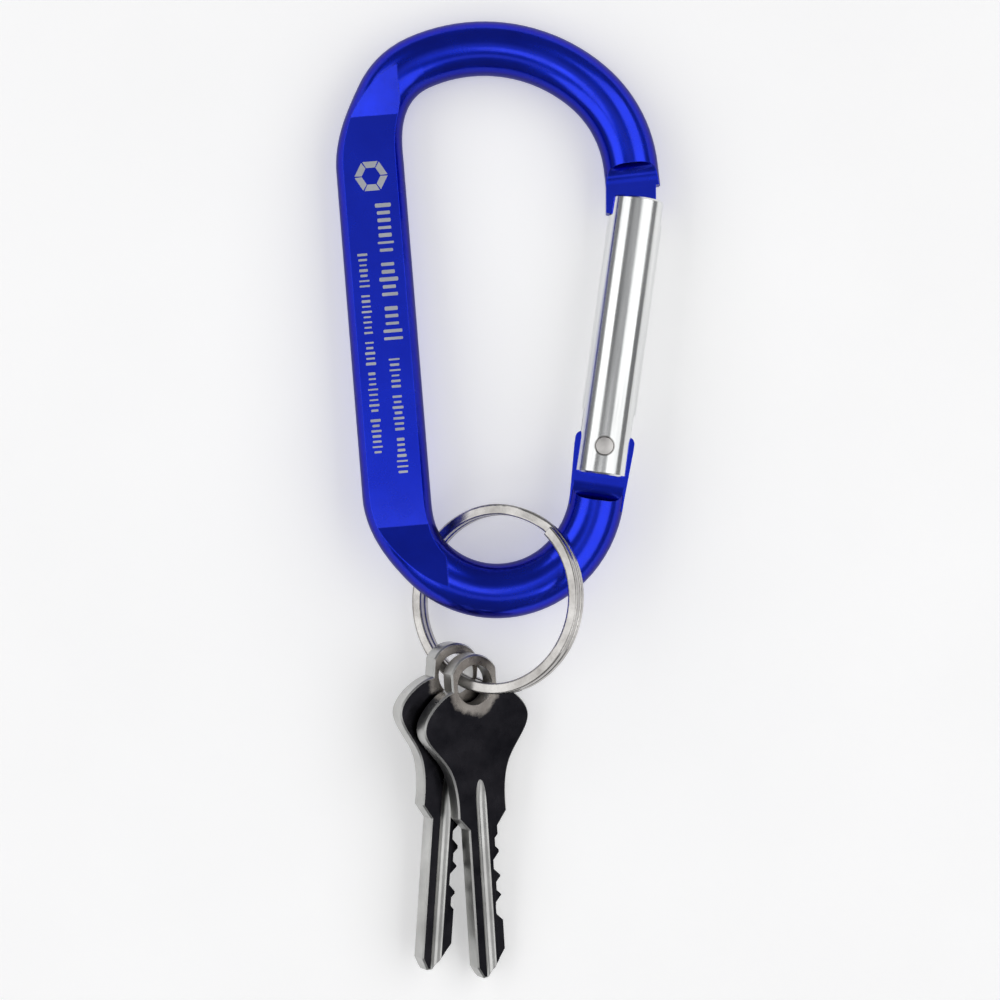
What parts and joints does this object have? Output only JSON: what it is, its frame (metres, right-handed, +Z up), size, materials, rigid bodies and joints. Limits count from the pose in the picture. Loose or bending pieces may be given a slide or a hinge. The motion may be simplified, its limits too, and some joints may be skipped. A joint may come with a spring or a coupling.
{
  "type": "carabiner keyring",
  "caption": "Spring-gate carabiner on a bent metal rod with a flattened spine, holding a split ring and padlock keys.",
  "frame": {"origin": "under the middle of the whole keyring's box, on the flat surface it lies on", "axes": "+Z up from the surface, +Y from the keys to the carabiner's top bow, +X across towards the gate"},
  "size_m": [0.0436, 0.128, 0.0152],
  "materials": {
    "anodised_blue": "glossy blue anodised aluminium",
    "polished_aluminium": "polished, drawn lengthwise",
    "rivet_steel": "satin, peened",
    "spring_steel": "bright drawn wire",
    "nickel_steel": "nickel plated, polished",
    "key_steel": "nickel plated, bright milled edges"
  },
  "bodies": {
    "frame": {"carabiner_frame": "anodised_blue"},
    "gate": {"gate": "polished_aluminium", "gate_rivet": "rivet_steel", "gate_spring": "spring_steel"},
    "plunger": {"spring_plunger": "spring_steel"},
    "ring": {"split_ring": "nickel_steel"},
    "front_key": {"key_front": "key_steel"},
    "rear_key": {"key_rear": "key_steel"}
  },
  "joints": [
    {"name": "gate_hinge", "type": "hinge", "parent": "frame", "child": "gate", "pos_m": [0.0139, 0.00696, 0.00657], "axis": [0, 0.0547, 0.9985], "range_deg": [0, 35], "stiffness_Nm_per_rad": 0.05, "springref_deg": -20.05},
    {"name": "plunger_slide", "type": "slide", "parent": "gate", "child": "plunger", "axis": [0.1392, 0.9888, -0.0542], "range_m": [0, 0.00136], "deforming": ["gate_spring"]},
    {"name": "ring_swing", "type": "hinge", "parent": "frame", "child": "ring", "pos_m": [-0.0003, -0.01311, 0.00811], "axis": [0, -0.9962, 0.0872], "range_deg": [0, 120]},
    {"name": "front_key_swing", "type": "hinge", "parent": "ring", "child": "front_key", "pos_m": [-0.00384, -0.02441, 0.00734], "axis": [0.5446, -0.0789, 0.8349], "range_deg": [-75, 75]},
    {"name": "rear_key_swing", "type": "hinge", "parent": "ring", "child": "rear_key", "pos_m": [-0.00638, -0.02299, 0.00577], "axis": [0.5446, -0.0789, 0.8349], "range_deg": [-75, 75]}
  ],
  "couplings": [
    {"joint": "plunger_slide", "follows": "gate_hinge", "m_per_rad": 0.0022}
  ]
}
